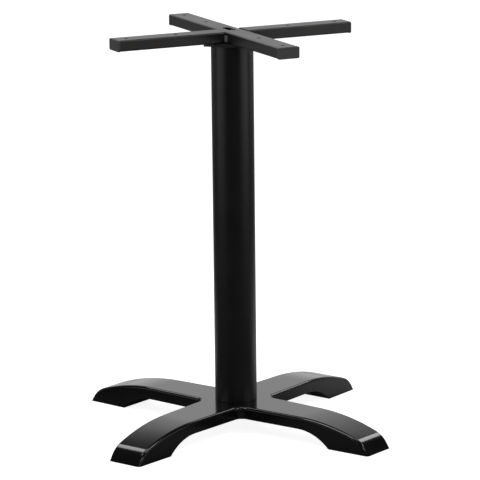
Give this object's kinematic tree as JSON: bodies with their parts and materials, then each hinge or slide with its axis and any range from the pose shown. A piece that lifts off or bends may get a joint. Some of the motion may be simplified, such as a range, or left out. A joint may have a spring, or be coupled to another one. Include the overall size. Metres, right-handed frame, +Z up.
{
  "type": "table base",
  "caption": "Pedestal table base: cast foot with arched legs, round steel column and a welded cross of rectangular tube that carries the table top.",
  "frame": {"origin": "on the floor, on the column's axis", "axes": "+Z up along the column, legs along +X, +Y, -X and -Y, with the tube cross turned from them"},
  "size_m": [0.641, 0.641, 0.728],
  "materials": {
    "casting_paint": "gloss black paint on a die casting",
    "column_paint": "semi-matt black powder coat",
    "bar_paint": "satin black powder coat",
    "weld_paint": "satin black powder coat over weld ripples",
    "cap_plastic": "fine-grained dark plastic",
    "zinc_steel": "bright zinc plate",
    "black_steel": "oil-blacked steel",
    "glide_plastic": "matt black plastic"
  },
  "bodies": {
    "root": {"base_casting": "casting_paint", "column_tube": "column_paint", "top_plate": "bar_paint", "long_bar": "bar_paint", "short_bar_left": "bar_paint", "short_bar_right": "bar_paint", "weld_beads": "weld_paint", "end_cap_1": "cap_plastic", "end_cap_2": "cap_plastic", "end_cap_3": "cap_plastic", "end_cap_4": "cap_plastic", "tie_rod": "black_steel", "captive_nut": "black_steel", "bottom_washer": "zinc_steel", "bottom_nut": "zinc_steel", "foot_glide_1": "glide_plastic", "foot_glide_2": "glide_plastic", "foot_glide_3": "glide_plastic", "foot_glide_4": "glide_plastic"}
  },
  "joints": []
}
